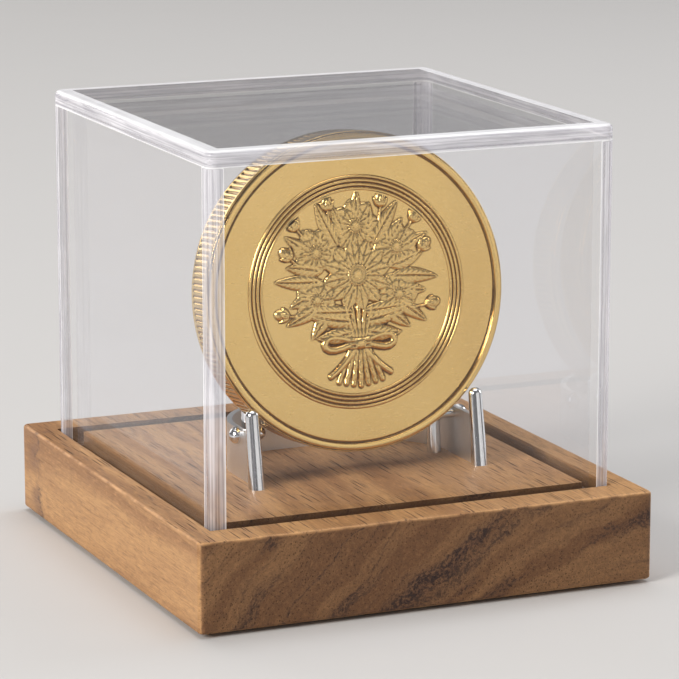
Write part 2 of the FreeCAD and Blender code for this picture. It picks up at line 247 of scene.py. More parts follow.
class CoinFrameWood(bpy.types.PropertyGroup):
    """The wood base and its pads."""

    light: colour_property("Light wood", "Palest wood between the rings", (0.56, 0.308, 0.130))
    middle: colour_property("Middle wood", "Common wood colour", (0.355, 0.174, 0.070))
    heart: colour_property("Heartwood", "Soft dark clouds of the grain", (0.150, 0.073, 0.050))
    dark: colour_property("Dark streaks", "Heartwood streaks", (0.036, 0.018, 0.017))
    pore: colour_property("Pores", "Open pores of the grain", (0.050, 0.022, 0.012))
    pore_width: length_property("Pore spacing", "Mean distance between pores", 0.85 * MM)
    pore_length: length_property("Pore length", "Reach of a pore along the grain", 19.0 * MM)
    wear_and_highlight: length_property("Edge wear", "Width of the rubbed edges", 0.9 * MM)
    # Width of the lighter arrises: partly real edge wear, partly a painted highlight.
    felt: colour_property("Felt", "Colour of the pads", (0.035, 0.028, 0.024))


class CoinFrameCover(bpy.types.PropertyGroup):
    """The clear cover."""

    corner: length_property("Corner radius", "Rounding of the upright corners", 2.5 * MM)
    ease: length_property("Top rounding", "Rounding of the top's outer edges", 1.3 * MM)
    edge: colour_property("Edge glow", "Light gathered in the sheets' edges", (0.86, 0.85, 0.90))
    shade: colour_property("Edge shade", "Darker streaks in the edges", (0.45, 0.44, 0.49))
    edge_cover: share_property("Edge cover", "How much an edge hides what is behind it", 0.72)
    front_gloss: share_property("Front gloss", "Share of the reflection seen face on", 0.4)
    gloss_index: FloatProperty(name="Index", description="Refractive index of the sheet",
                               default=1.49, min=1.0, max=2.5)


class CoinFrameMedal(bpy.types.PropertyGroup):
    """The struck medal."""

    gold: colour_property("Gold", "Colour of the plating", (0.86, 0.60, 0.235))
    # Painted shade: this colour is laid into the medal's creases, ring feet and reed grooves where
    # shade falls.
    crease_shade_colour: colour_property("Deep gold", "Toned gold in the hollows", (0.13, 0.050, 0.011))
    satin: share_property("Satin", "Mean roughness of the field", 0.235)
    polish: share_property("Polish", "Mean roughness of the rim and edge", 0.12)
    rim_width: length_property("Rim width", "Width of the raised rim", 1.7 * MM)
    rim_height: length_property("Rim height", "Height of the rim over the field", 0.55 * MM)
    ring_start: length_property("First ring", "Radius of the innermost ring", 25.8 * MM)
    ring_pitch: length_property("Ring pitch", "Distance between the rings", 1.05 * MM)
    ring_count: IntProperty(name="Rings", description="Number of raised rings", default=4, min=1)
    design_spread: FloatProperty(name="Design spread", description="Growth of the struck design",
                                 default=1.14, min=0.5, max=1.2)
    relief: length_property("Relief", "Height of the design over the field", 1.15 * MM)
    reeds: IntProperty(name="Reeds", description="Grooves round the edge", default=164, min=8)
    reed_depth: length_property("Reed depth", "Depth of a groove in the edge", 0.42 * MM)


class CoinFrameCradle(bpy.types.PropertyGroup):
    """The metal cradle and its fasteners."""

    chrome: colour_property("Chrome", "Colour of the polished plating", (0.80, 0.81, 0.82))
    steel: colour_property("Steel", "Colour of the plain fasteners", (0.42, 0.42, 0.43))
    polish: share_property("Polish", "Mean roughness of the rods", 0.12)
    satin: share_property("Satin", "Mean roughness of the band", 0.40)


class CoinFrameStage(bpy.types.PropertyGroup):
    """The floor, the lights and the camera."""

    floor: colour_property("Floor", "Colour of the floor", (0.61, 0.595, 0.58))
    floor_size: length_property("Floor size", "Radius of the floor", 6.0)
    room: colour_property("Room", "Colour of the surrounding light", (0.15, 0.148, 0.15))
    lens: FloatProperty(name="Lens", description="Focal length on a 36 mm wide sensor",
                        default=188.3, min=1.0, subtype="DISTANCE_CAMERA")
    azimuth: FloatProperty(name="Azimuth", description="Turn of the camera about the object",
                           default=math.radians(-23.55), subtype="ANGLE")
    elevation: FloatProperty(name="Elevation", description="Height angle of the camera",
                             default=math.radians(12.37), subtype="ANGLE")
    place: FloatVectorProperty(name="Camera place", description="Where the camera stands", size=3,
                               default=(-0.3490, -0.8095, 0.2473), subtype="TRANSLATION")


# --- Mesh helpers ---

def add_piece(name, points, faces, materials, face_materials=None, matrix=None, smooth=True):
    """Makes an object of points, an array of places, and faces, an array of corner numbers."""
    mesh = bpy.data.meshes.new(name)
    mesh.from_pydata([tuple(point) for point in points], [], [tuple(face) for face in faces])
    for material in materials:
        mesh.materials.append(material)
    if face_materials is not None:
        mesh.polygons.foreach_set("material_index", np.asarray(face_materials, np.int32))
    mesh.polygons.foreach_set("use_smooth", np.full(len(mesh.polygons), smooth))
    mesh.update()
    piece = bpy.data.objects.new(name, mesh)
    bpy.context.scene.collection.objects.link(piece)
    if matrix is not None:
        piece.matrix_world = matrix
    bpy.context.view_layer.update()
    return piece


def grid_faces(rows, columns, wrap):
    """Quads between neighbouring rows of columns points each; wrap closes each row."""
    row = np.arange(rows - 1)[:, None] * columns
    column = np.arange(columns if wrap else columns - 1)[None, :]
    following = (column + 1) % columns
    corners = [row + column, row + following, row + columns + following, row + columns + column]
    return np.stack(np.broadcast_arrays(*corners), -1).reshape(-1, 4)


def tint(colour, share):
    """A lighter or darker version of a colour."""
    return [min(1.0, channel * share) for channel in colour]


def dress(name, material):
    """Gives a packed node its finish."""
    node = frame["nodes"][name]
    node.data.materials.clear()
    node.data.materials.append(material)


# --- Wood base and pads ---

def oiled_walnut(props):
    """Straight-grained wood, its grain along Y: rings about a pith below the right-hand side."""
    low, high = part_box("base_block")
    middle = (low + high) / 2 / MM
    half = (high - low) / 2 / MM
    pith = (half.x + 20.0, -100.0)
    waves, ripples = 16.0, 4.0      # how far the rings stray, in mm
    reach = 110.0                   # from the pith to the block, in mm
    knot = half.y - 26.0            # the knot on the left-hand side, along Y
    wood = Finish("oiled_walnut")
    place = wood.place()
    x, y, z = wood.parts(place)
    normal = wood.node("ShaderNodeTexCoord", output="Normal")
    end_grain = wood.step(abs(wood.parts(normal)[1]), 0.55, 0.9)

    wander = wood.noise(wood.whole(x * 0.02, y * 0.007, z * 0.03), detail=2.0)
    ripple = wood.noise(wood.whole(x * 0.13, y * 0.016, z * 0.13), detail=3.0)
    dx = x - pith[0]
    dz = z - pith[1]
    radius = (dx * dx + dz * dz) ** 0.5 + wander * waves + ripple * ripples
    arc = wood.maths("ARCTAN2", dz, dx) * reach

    growth = wood.noise(wood.whole(radius * 0.22, arc * 0.012, y * 0.005), detail=4.0)
    heart = wood.noise(wood.whole(radius * 0.115, arc * 0.014, y * 0.006 + 3.0), detail=3.0)
    heart = heart + (x - 8.0) * 0.0007
    seam = wood.noise(wood.whole(radius * 0.10, arc * 0.020, y * 0.005 + 8.0), rough=0.6)
    curls = wood.noise(wood.whole(radius * 1.9, arc * 1.25, y * 0.10), detail=3.0, rough=0.6)
    fibre = wood.noise(wood.whole(x * 2.6, y * 0.13, z * 2.6), detail=3.0, rough=0.65)
    fleck = wood.noise(wood.whole(x * 1.0, y * 0.30, z * 1.0), detail=5.0, rough=0.75)

    spacing = props.pore_width / MM
    along = props.pore_length / MM
    long_pores = wood.cells(wood.whole(x / spacing, y / along, z / spacing))
    fine = wood.whole(x * 1.6 / spacing, y * 1.9 / along, z * 1.6 / spacing)
    fine_pores = wood.fade(wood.cells(fine), 0.16, 0.34)
    crowd = wood.noise(wood.whole(x * 0.09, y * 0.012, z * 0.09), detail=2.0)
    crowd = wood.step(crowd, 0.36, 0.58)
    sideways = wood.step(abs(wood.parts(normal)[0]), 0.55, 0.9)
    pores = wood.fade(long_pores, 0.15, 0.29) * (0.55 + crowd * 0.45)
    pores = pores * (1.0 - sideways * 0.82)
    fine_pores = fine_pores * (1.0 - sideways * 0.6)

    tone = wood.mix(wood.step(growth, 0.38, 0.62), props.light, props.middle)
    fibres = wood.step(fibre, 0.38, 0.66)
    tone = wood.mix(fibres * 0.30, tone, tint(props.middle, 0.70))
    flecks = wood.step(fleck, 0.50, 0.70)
    tone = wood.mix(flecks * 0.42, tone, tint(props.light, 1.25))
    sunk = wood.fade(fleck, 0.34, 0.47)
    tone = wood.mix(sunk * (0.28 + sideways * 0.17), tone, tint(props.middle, 0.60))

    cloud = wood.step(heart, 0.475, 0.605) * (0.25 + end_grain * 0.75)
    tone = wood.mix(cloud * 0.62, tone, props.heart)
    curled = wood.step(curls, 0.44, 0.58)
    thread = wood.fade(abs(seam - 0.5), 0.0, 0.034)
    thread = thread * (0.10 + end_grain * 0.90) * wood.step(growth - x * 0.001, 0.36, 0.60)
    tone = wood.mix(thread * 0.35, tone, props.heart)
    dark = wood.most(wood.most(cloud, thread * 0.85), 0.20) * curled
    tone = wood.mix(dark * (0.25 + end_grain * 0.60), tone, props.dark)
    glints = wood.fade(curls, 0.32, 0.44) * cloud * end_grain
    tone = wood.mix(glints * 0.40, tone, props.light)
    tone = wood.mix(pores * (0.80 - end_grain * 0.25), tone, props.pore)
    tone = wood.mix(fine_pores * (0.55 - end_grain * 0.2 + cloud * 0.3), tone, props.pore)
    tone = wood.mix(end_grain, tone, wood.mix(1.0, tone, (0.50, 0.455, 0.435), "MULTIPLY"))

    wave = wood.noise(wood.whole(3.3, y * 0.05, z * 0.17), detail=3.0, rough=0.65)
    off = y - knot - wave * 21.0
    outside = wood.fade(x + half.x - middle.x, 1.0, 7.0)
    blot = wood.noise(wood.whole(x * 0.3, y * 0.11, z * 0.13), detail=3.0)
    stain = wood.step(off, -1.0, 2.0) * wood.fade(off, 4.0, 13.0) * outside
    stain = stain * wood.step(blot, 0.34, 0.54)
    tone = wood.mix(stain * (0.5 + flecks * 0.3), tone, props.heart)
    vein = wood.fade(abs(off - 0.9), 0.1, 2.8) * outside
    vein = vein * wood.step(fleck, 0.46, 0.56) * wood.step(blot, 0.34, 0.50)
    tone = wood.mix(vein * 0.6, tone, props.dark)

    side = half.x + middle.x - abs(x)
    front = half.y + middle.y - abs(y)
    top = high.z / MM - z
    second = wood.most(wood.least(side, front), wood.least(wood.most(side, front), top))
    # Lighter arrises: partly real edge wear, partly a painted highlight along the eased edges.
    rub_and_highlight = wood.fade(second, 0.25 * props.wear_and_highlight / MM, props.wear_and_highlight / MM)
    rub_and_highlight = rub_and_highlight * wood.step(wood.noise(place, scale=0.21, detail=2.0), 0.36, 0.62)
    tone = wood.mix(rub_and_highlight * 0.45, tone, tint(props.light, 1.4))
    # Painted shade: the sunk groove inside the rim is darkened, as shade falls in it.
    groove = wood.step(top, 0.35, 1.2) * wood.step(wood.least(side, front), 4.5, 6.0)
    tone = wood.mix(groove * 0.6, tone, tint(props.middle, 0.30))

    grain = fibres * -0.35 - pores - fine_pores * 0.4 + flecks * 0.2
    rough = 0.42 + fibre * 0.14 + pores * 0.25 + end_grain * 0.12 - rub_and_highlight * 0.06
    surface = wood.principled(
        Base_Color=tone,
        Roughness=rough,
        Specular_IOR_Level=0.42,
        Normal=wood.bump(grain, 0.12 * MM, 0.8),
    )
    return wood.done(surface)


def pad_felt(props):
    """Pressed wool felt: short crossing fibres over small clumps."""
    felt = Finish("pressed_felt")
    place = felt.place()
    clumps = felt.noise(place, scale=1.1, detail=4.0)
    hairs = felt.noise(felt.vector("MULTIPLY", place, (9.0, 2.4, 6.0)), detail=2.0)
    crossing = felt.noise(felt.vector("MULTIPLY", place, (2.4, 9.0, 6.0)), detail=2.0)
    pile = felt.most(hairs, crossing)
    tone = felt.mix(felt.step(pile, 0.5, 0.75), props.felt, tint(props.felt, 2.6))
    tone = felt.mix(felt.step(clumps, 0.5, 0.8) * 0.5, tone, tint(props.felt, 0.5))
    surface = felt.principled(
        Base_Color=tone,
        Roughness=0.88 + clumps * 0.1,
        Sheen_Weight=0.5,
        Normal=felt.bump(pile + clumps * 0.6, 0.3 * MM),
    )
    return felt.done(surface)


class COINFRAME_OT_wood_base(bpy.types.Operator):
    """Finishes the grooved wood base"""

    bl_idname = "coinframe.wood_base"
    bl_label = "Wood Base"

    def execute(self, context):
        dress("base_block", oiled_walnut(context.scene.coinframe_wood))
        return {"FINISHED"}


class COINFRAME_OT_foot_pads(bpy.types.Operator):
    """Finishes the felt pads under the base"""

    bl_idname = "coinframe.foot_pads"
    bl_label = "Foot Pads"

    def execute(self, context):
        felt = pad_felt(context.scene.coinframe_wood)
        for name in PAD_NODES:
            dress(name, felt)
        return {"FINISHED"}


# --- Clear cover ---

def clear_sheet(props):
    """A polished clear sheet: what is behind it shows unbent, with a mirror's gloss at a slant."""
    sheet = Finish("clear_sheet")
    place = sheet.place()
    cloud = sheet.noise(place, scale=0.035, detail=2.0)
    drawn = sheet.vector("MULTIPLY", place, (0.9, 0.9, 0.05))
    hairline = sheet.noise(drawn, detail=4.0, rough=0.8)
    scuff = sheet.step(hairline, 0.66, 0.78)
    straight = ((props.gloss_index - 1) / (props.gloss_index + 1)) ** 2
    slant = sheet.node("ShaderNodeLayerWeight", None, {"Blend": 0.5}, "Facing")
    fresnel = straight * props.front_gloss + slant ** 5 * (1 - straight)
    gloss = sheet.principled(
        Base_Color=(0.97, 0.97, 1.0), Metallic=1.0, Roughness=0.015 + scuff * 0.03
    )
    haze = sheet.principled(Base_Color=(0.93, 0.93, 0.97), Roughness=0.35)
    clear = sheet.node("ShaderNodeBsdfTransparent", None, {"Color": (0.985, 0.985, 0.99, 1.0)})
    veil = sheet.node("ShaderNodeMixShader", None, {0: 0.003 + cloud * 0.006, 1: clear, 2: haze})
    return sheet.done(sheet.node("ShaderNodeMixShader", None, {0: fresnel, 1: veil, 2: gloss}))


def bright_edge(props):
    """The sheets' edges, which gather light and send it out in long fine streaks."""
    low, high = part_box("cover_top_panel")
    half = (high - low) / 2 / MM
    wall = high.z / MM - low.z / MM
    edge = Finish("bright_edge")
    place = edge.place()
    x, y, z = edge.parts(place)
    side = half.x - abs(x)
    front = half.y - abs(y)
    top = high.z / MM - z
    upright = edge.step(top, wall, wall + 0.3)
    across = (edge.most(side, front) * upright + top * (1.0 - upright)) / wall
    along = edge.whole(across * 7.0, edge.least(side, front) * 0.4, (x + y + z) * 0.012)
    streak = edge.noise(along, detail=3.0, rough=0.6)
    soft = edge.noise(edge.whole(across * 2.2, 0.0, (x - y + z) * 0.05), detail=2.0)
    lip = edge.fade(across, 0.05, 0.16)
    joint = edge.fade(abs(across - 0.80), 0.02, 0.07)
    inner = edge.step(across, 0.90, 0.97)
    bright = edge.step(streak, 0.40, 0.62) * 0.6 + edge.step(soft, 0.42, 0.6) * 0.4
    tone = edge.mix(bright, props.shade, props.edge)
    tone = edge.mix(edge.most(lip, inner), tone, (0.98, 0.98, 1.0))
    tone = edge.mix(joint * 0.6, tone, tint(props.shade, 0.6))
    hide = props.edge_cover * (0.62 + bright * 0.38) + edge.most(lip, inner) * 0.12
    gloss = edge.principled(
        Base_Color=tone,
        Roughness=0.10 + streak * 0.12,
        IOR=props.gloss_index,
        Emission_Color=tone,
        Emission_Strength=0.16,
    )
    clear = edge.node("ShaderNodeBsdfTransparent", None, {"Color": (0.96, 0.96, 0.98, 1.0)})
    return edge.done(edge.node("ShaderNodeMixShader", None, {0: hide, 1: clear, 2: gloss}))


def plan_loop(half_x, half_y, radius, joint, segments=8):
    """A rounded rectangle, anticlockwise from the front's right, with a stop at each sheet joint.
    Returns its points and, for the edge after each point, True where that is a corner."""
    points, corner = [], []
    for number, (sx, sy) in enumerate(((1, -1), (1, 1), (-1, 1), (-1, -1))):
        stops = [(sx * (half_x - joint), sy * half_y), (sx * half_x, sy * (half_y - joint))]
        if number % 2:
            stops.reverse()
        arc = []
        for step in range(segments + 1):
            angle = math.radians(90 * (number - 1) + 90 * step / segments)
            arc.append((sx * (half_x - radius) + radius * math.cos(angle),
                        sy * (half_y - radius) + radius * math.sin(angle)))
        points += [stops[0], *arc, stops[1]]
        corner += [True] * (len(arc) + 1) + [False]
    return points, corner


class COINFRAME_OT_clear_cover(bpy.types.Operator):
    """Builds the five-sided clear cover with its bright sheet edges"""

    bl_idname = "coinframe.clear_cover"
    bl_label = "Clear Cover"

    def execute(self, context):
        props = context.scene.coinframe_cover
        top_low, top_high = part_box("cover_top_panel")
        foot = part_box("cover_front_panel")[0].z
        wall = top_high.z - top_low.z
        levels = [(foot, 0.0, False), (top_low.z, 0.0, True)]
        for number in range(EASE_STEPS + 1):
            turn = math.radians(90 * number / EASE_STEPS)
            height = top_high.z - props.ease * (1 - math.sin(turn))
            levels.append((height, props.ease * (1 - math.cos(turn)), True))
        points = []
        for height, inset, _ in levels:
            outline, is_corner = plan_loop(top_high.x - inset, top_high.y - inset,
                                           props.corner - inset, wall - inset)
            points += [(px, py, height) for px, py in outline]
        inside, _ = plan_loop(top_high.x - wall, top_high.y - wall, INNER_CORNER, INNER_STOP)
        for height in (top_high.z, foot, top_low.z):
            points += [(px, py, height) for px, py in inside]

        count = len(inside)
        faces = [tuple(face) for face in grid_faces(len(levels) + 1, count, True)]
        marks = [int(rail or corner) for _, _, rail in levels for corner in is_corner]
        lid = len(levels) * count
        faces.append(tuple(range(lid, lid + count)))
        marks.append(0)
        base = lid + count
        for column in range(count):
            following = (column + 1) % count
            faces.append((base + following, base + column,
                          base + count + column, base + count + following))
            faces.append((column, base + column, base + following, following))
            marks += [0, 1]
        faces.append(tuple(range(base + 2 * count - 1, base + count - 1, -1)))
        marks.append(0)
        materials = [clear_sheet(props), bright_edge(props)]
        cover = add_piece("display_cover", points, faces, materials, marks, smooth=False)
        for face in cover.data.polygons:
            face.use_smooth = max(abs(part) for part in face.normal) < FLAT
        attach(cover, "cover")
        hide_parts(*COVER_NODES)
        return {"FINISHED"}


# --- Cradle and fasteners ---

def polished_chrome(props, name, rough):
    """Bright chrome plating with faint polishing clouds and hairlines."""
    chrome = Finish(name)
    place = chrome.place()
    cloud = chrome.noise(place, scale=0.45, detail=4.0)
    hair = chrome.noise(chrome.vector("MULTIPLY", place, (7.0, 7.0, 0.8)), detail=3.0)
    tone = chrome.mix(chrome.step(cloud, 0.35, 0.75) * 0.3, props.chrome,
                      tint(props.chrome, 0.88))
    surface = chrome.principled(
        Base_Color=tone,
        Metallic=1.0,
        Roughness=rough * 0.9 + chrome.step(cloud, 0.3, 0.8) * 0.03 + hair * 0.03,
        Normal=chrome.bump(hair, 0.008 * MM, 0.2),
    )
    return chrome.done(surface)


def turned_steel(props):
    """Plain steel with fine turning marks and a thin oily film."""
    steel = Finish("turned_steel")
    place = steel.place()
    marks = steel.noise(steel.vector("MULTIPLY", place, (1.2, 1.2, 14.0)), detail=3.0)
    film = steel.noise(place, scale=0.7, detail=4.0)
    tone = steel.mix(steel.step(film, 0.4, 0.7), props.steel, tint(props.steel, 0.7))
    surface = steel.principled(
        Base_Color=tone,
        Metallic=1.0,
        Roughness=0.24 + marks * 0.2 + film * 0.1,
        Normal=steel.bump(marks, 0.03 * MM, 0.4),
    )
    return steel.done(surface)


class COINFRAME_OT_cradle(bpy.types.Operator):
    """Finishes the chrome prongs, posts, crossbar, pins and band"""

    bl_idname = "coinframe.cradle"
    bl_label = "Cradle"

    def execute(self, context):
        props = context.scene.coinframe_cradle
        polished = polished_chrome(props, "polished_chrome", props.polish)
        satin = polished_chrome(props, "satin_chrome", props.satin)
        for name in CHROME_NODES:
            dress(name, satin if name == "cradle_band" else polished)
        return {"FINISHED"}


class COINFRAME_OT_fasteners(bpy.types.Operator):
    """Finishes the screws and washers under the base"""

    bl_idname = "coinframe.fasteners"
    bl_label = "Fasteners"

    def execute(self, context):
        steel = turned_steel(context.scene.coinframe_cradle)
        for name in FASTENER_NODES:
            dress(name, steel)
        return {"FINISHED"}


# --- Medal ---

class Relief:
    """Heights over a flat field, in millimetres, at points x and y of the medal's face."""

    def __init__(self, x, y):
        self.x = x
        self.y = y
        self.height = np.zeros_like(x)

    def raise_to(self, height):
        self.height = np.maximum(self.height, height)

    def local(self, x, y, angle):
        """Places measured from (x, y) along and across a direction, angle in degrees."""
        turn = math.radians(angle)
        dx, dy = self.x - x, self.y - y
        return (dx * math.cos(turn) + dy * math.sin(turn),
                dy * math.cos(turn) - dx * math.sin(turn))

    def dome(self, x, y, long, short, height, angle=0.0, lift=0.0):
        along, across = self.local(x, y, angle)
        inside = 1 - (along / long) ** 2 - (across / short) ** 2
        self.raise_to(np.where(inside > 0, lift + height * np.sqrt(np.maximum(inside, 0)), 0))

    def leaf(self, x, y, angle, length, width, height, lift=0.0, crease=0.3, curl=0.0, full=0.75):
        """A leaf from its stalk end, with a sunk midrib; a large full widens its tip."""
        along, across = self.local(x, y, angle)
        share = np.clip(along / length, 0, 1)
        across = across - curl * share ** 2
        edge = width / 2 * np.sin(np.pi * share ** full) ** 0.8 + 1e-6
        reach = np.abs(across) / edge
        inside = (along > 0) & (along < length) & (reach < 1)
        body = np.sqrt(np.maximum(1 - reach ** 2, 0)) ** 0.8
        body = body * (0.6 + 0.4 * np.sin(np.pi * share ** full))
        groove = crease * np.exp(-((across / 0.16) ** 2))
        veins = 0.16 * np.abs(np.sin(np.pi * (along - np.abs(across)) / 1.3)) ** 0.5 - 0.16
        self.raise_to(np.where(inside, lift + height * np.maximum(body - groove + veins, 0.2), 0))

    def stem(self, path, start, end, height, lift=0.0, notches=0.0):
        """A round stalk along a path, its radius running from start to end."""
        path = np.asarray(path, float)
        spans = np.linalg.norm(np.diff(path, axis=0), axis=1)
        walked, total = 0.0, spans.sum()
        for first, last, span in zip(path[:-1], path[1:], spans):
            step = (last - first) / span
            along = (self.x - first[0]) * step[0] + (self.y - first[1]) * step[1]
            held = np.clip(along, 0, span)
            gap = np.hypot(self.x - first[0] - held * step[0], self.y - first[1] - held * step[1])
            travel = (walked + held) / total
            radius = start + (end - start) * travel
            profile = np.sqrt(np.maximum(1 - (gap / radius) ** 2, 0))
            if notches:
                ridge = 0.72 + 0.28 * np.abs(np.sin(np.pi * (walked + held) / notches))
                profile = profile * ridge
            self.raise_to(np.where(gap < radius, lift + height * profile, 0))
            walked += span

    def beads(self, x, y, radius, count, size, height, start=0.0):
        for number in range(count):
            angle = math.radians(start + 360 * number / count)
            self.dome(x + radius * math.cos(angle), y + radius * math.sin(angle),
                      size, size, height)


def bend(start, angle, length, turn, steps):
    """A path that starts at an angle and turns steadily, both in degrees."""
    points = [np.array(start, float)]
    for number in range(steps):
        heading = math.radians(angle + turn * (number + 0.5) / steps)
        ahead = np.array([math.cos(heading), math.sin(heading)])
        points.append(points[-1] + length / steps * ahead)
    return points


def add_flower(relief, x, y, size, petals, start=0.0, lift=0.0):
    """A round flower: two rings of creased petals about a seeded middle."""
    wide = 2.6 * size / petals
    for ring, (reach, rise, level) in enumerate(((1.0, 0.52, 0.0), (0.70, 0.58, 0.16))):
        for number in range(petals):
            angle = start + 360 * (number + ring / 2) / petals
            relief.leaf(x, y, angle, reach * size, wide * (1.9 - 0.5 * ring), rise,
                        lift + level, 0.34, full=1.9)
    relief.dome(x, y, 0.25 * size, 0.25 * size, 0.42, lift=lift + 0.42)
    relief.beads(x, y, 0.26 * size, 2 * petals, 0.06 * size, lift + 0.86)
    relief.beads(x, y, 0.13 * size, petals, 0.055 * size, lift + 0.96)


def add_bud(relief, start, angle, length, turn, size):
    """A bud in its cup of small leaves, on a curved stalk."""
    path = bend(start, angle, length, turn, 8)
    relief.stem(path, 0.34, 0.26, 0.5)
    heading = angle + turn
    out = math.radians(heading)
    x, y = path[-1][0] + size * math.cos(out), path[-1][1] + size * math.sin(out)
    relief.dome(x, y, 1.25 * size, 0.85 * size, 0.85, heading)
    for spread in (-42, 42):
        relief.leaf(*path[-1], heading + spread, 1.7 * size, 0.8 * size, 0.7, 0.25, 0.1)
    relief.leaf(*path[-1], heading, 1.9 * size, 0.9 * size, 0.7, lift=0.45, crease=0.2)


def add_foliage(relief):
    """Leaves that fan out all round the bunch, in two layers, with buds between them."""
    for number in range(19):
        angle = -46 + 272 * number / 18
        turn = math.radians(angle)
        seat = 8.4 * math.cos(turn), 3.0 + 8.4 * math.sin(turn)
        long = 11.2 if number % 2 else 8.6
        relief.leaf(*seat, angle, long, 3.5, 0.66, crease=0.42, curl=0.8 * (-1) ** number)
    for side in (-1, 1):
        for start, lean, length, turn in (
                ((4.6, 12.0), 64, 6.6, 22), ((10.0, 5.0), 16, 6.4, 30),
                ((10.5, 11.0), 44, 4.8, 10), ((10.0, -3.5), -22, 6.6, 34)):
            angle = lean if side > 0 else 180 - lean
            add_bud(relief, (side * start[0], start[1]), angle, length, side * turn, 1.5)
        for level, lean, long in ((-8.6, -16, 9.0), (-6.4, 4, 11.0), (-4.2, -2, 12.6)):
            angle = lean if side > 0 else 180 - lean
            relief.leaf(side * 1.2, level, angle, long, 3.6, 0.7, lift=0.1, crease=0.42,
                        curl=side * 1.6)


def add_blooms(relief):
    """The flowers of the bunch, the largest in the middle."""
    for x, y, size, petals, start in ((-9.6, 9.4, 5.4, 7, 12), (9.6, 9.4, 5.4, 7, -20),
                                      (0.0, 14.6, 5.8, 8, 8), (-9.8, -1.0, 4.9, 6, 30),
                                      (9.8, -1.0, 4.9, 6, 0)):
        add_flower(relief, x, y, size, petals, start)
    add_flower(relief, 0.0, 3.8, 8.0, 12, 9, lift=0.24)


def add_stalks(relief):
    """The stalks, gathered by a cord with a bow."""
    for number in range(-3, 4):
        path = [(number * 1.5, -3.5), (number * 0.62, -10.6), (number * 0.66, -12.0),
                (number * 1.75, -20.6 + 0.35 * abs(number))]
        relief.stem(path, 0.55, 0.62, 0.6 + 0.06 * (3 - abs(number)), notches=2.3)
    for side in (-1, 1):
        turns = [2 * math.pi * number / 16 for number in range(17)]
        loop = [(side * (4.4 - 3.9 * math.cos(turn)), -11.0 + 2.1 * math.sin(turn)
                 * (0.55 - 0.45 * math.cos(turn))) for turn in turns]
        relief.stem(loop, 0.8, 0.8, 0.72, lift=0.14)
        tail = bend((side * 1.0, -12.0), -90 + side * 32, 8.8, side * 26, 8)
        relief.stem(tail, 0.85, 0.62, 0.62, lift=0.1)
    for level in (-10.5, -11.3, -12.1):
        relief.stem([(-2.2, level), (2.2, level)], 0.48, 0.48, 1.0)
    relief.dome(0.0, -11.3, 1.5, 1.25, 0.7, lift=0.6)


def add_wreath(relief):
    """Two laurel branches that almost meet at the top, round a rosette."""
    for side in (-1, 1):
        path = bend((side * 1.5, -17.6), 90 - side * 84, 47.5, side * 152, 34)
        relief.stem(path, 0.5, 0.3, 0.45)
        for number in range(2, 34, 2):
            step = path[number] - path[number - 1]
            heading = math.degrees(math.atan2(step[1], step[0]))
            for edge in (-1, 1):
                relief.leaf(*path[number], heading + edge * 36, 5.0, 2.1, 0.7, crease=0.3)
            relief.dome(*(path[number] + (-side * 1.7, 0.9)), 0.5, 0.5, 0.6)
    relief.stem([(-3.5, -19.2), (0, -17.2), (3.5, -19.2)], 0.8, 0.8, 0.8)
    for number in range(12):
        relief.leaf(0, 0, 30 * number, 7.6, 3.3, 0.55, crease=0.3)
        relief.leaf(0, 0, 30 * number + 15, 5.4, 2.4, 0.72, crease=0.3)
    relief.beads(0, 0, 8.6, 36, 0.42, 0.5)
    relief.dome(0, 0, 1.9, 1.9, 0.75, lift=0.35)


def disc_grid(radius, cells):
    """A square grid bent into a disc: points and faces, its boundary points in even steps round
    the rim.
    """
    line = np.linspace(-1, 1, cells + 1)
    a, b = np.meshgrid(line, line)
    wide = np.abs(a) >= np.abs(b)
    reach = np.where(wide, a, b)
    safe = np.where(reach == 0, 1, reach)
    angle = np.where(wide, b / safe * np.pi / 4, np.pi / 2 - a / safe * np.pi / 4)
    x = radius * reach * np.cos(angle)
    y = radius * reach * np.sin(angle)
    return x.ravel(), y.ravel(), grid_faces(cells + 1, cells + 1, False)


def struck_gold(props, name, rough):
    """Gold plate: satin or bright, with painted shade darkening the design's hollows, creases and
    grooves.
    """
    gold = Finish(name)
    place = gold.place()
    satin = gold.noise(place, scale=6.0, detail=2.0, rough=0.7)
    cloud = gold.noise(place, scale=0.05, detail=3.0)
    handling = gold.noise(gold.vector("MULTIPLY", place, (0.4, 1.6, 0.4)), detail=5.0, rough=0.75)
    tone = gold.mix(gold.step(cloud, 0.35, 0.7) * 0.35, props.gold,
                    [channel * shift for channel, shift in zip(props.gold, (0.93, 0.88, 0.78))])
    # Painted shade: a point attribute darkens the gold in creases and grooves.
    crease_shade = gold.node("ShaderNodeAttribute", {"attribute_name": "crease_shade"}, output="Fac")
    tone = gold.mix(crease_shade, tone, props.crease_shade_colour)
    surface = gold.principled(
        Base_Color=tone,
        Metallic=1.0,
        Roughness=rough + satin * 0.05 + gold.step(handling, 0.55, 0.75) * 0.04,
        Normal=gold.bump(satin, 0.012 * MM, 0.5),
    )
    return gold.done(surface)


def mark_painted_shade(piece, crease_shade):
    """Keeps each point's share of painted shade, darker in creases and grooves, for the finish to
    use.
    """
    layer = piece.data.attributes.new("crease_shade", "FLOAT", "POINT")
    layer.data.foreach_set("value", crease_shade.astype(np.float32))


def coin_matrix():
    """The medal's own frame: X right, Y up along the face and Z out of its front."""
    out = Vector(COIN_JOINT["axis"]).normalized()
    right = Vector((1, 0, 0))
    up = out.cross(right)
    matrix = Matrix((right, up, out)).transposed().to_4x4()
    matrix.translation = Vector(COIN_JOINT["pos_m"])
    return matrix


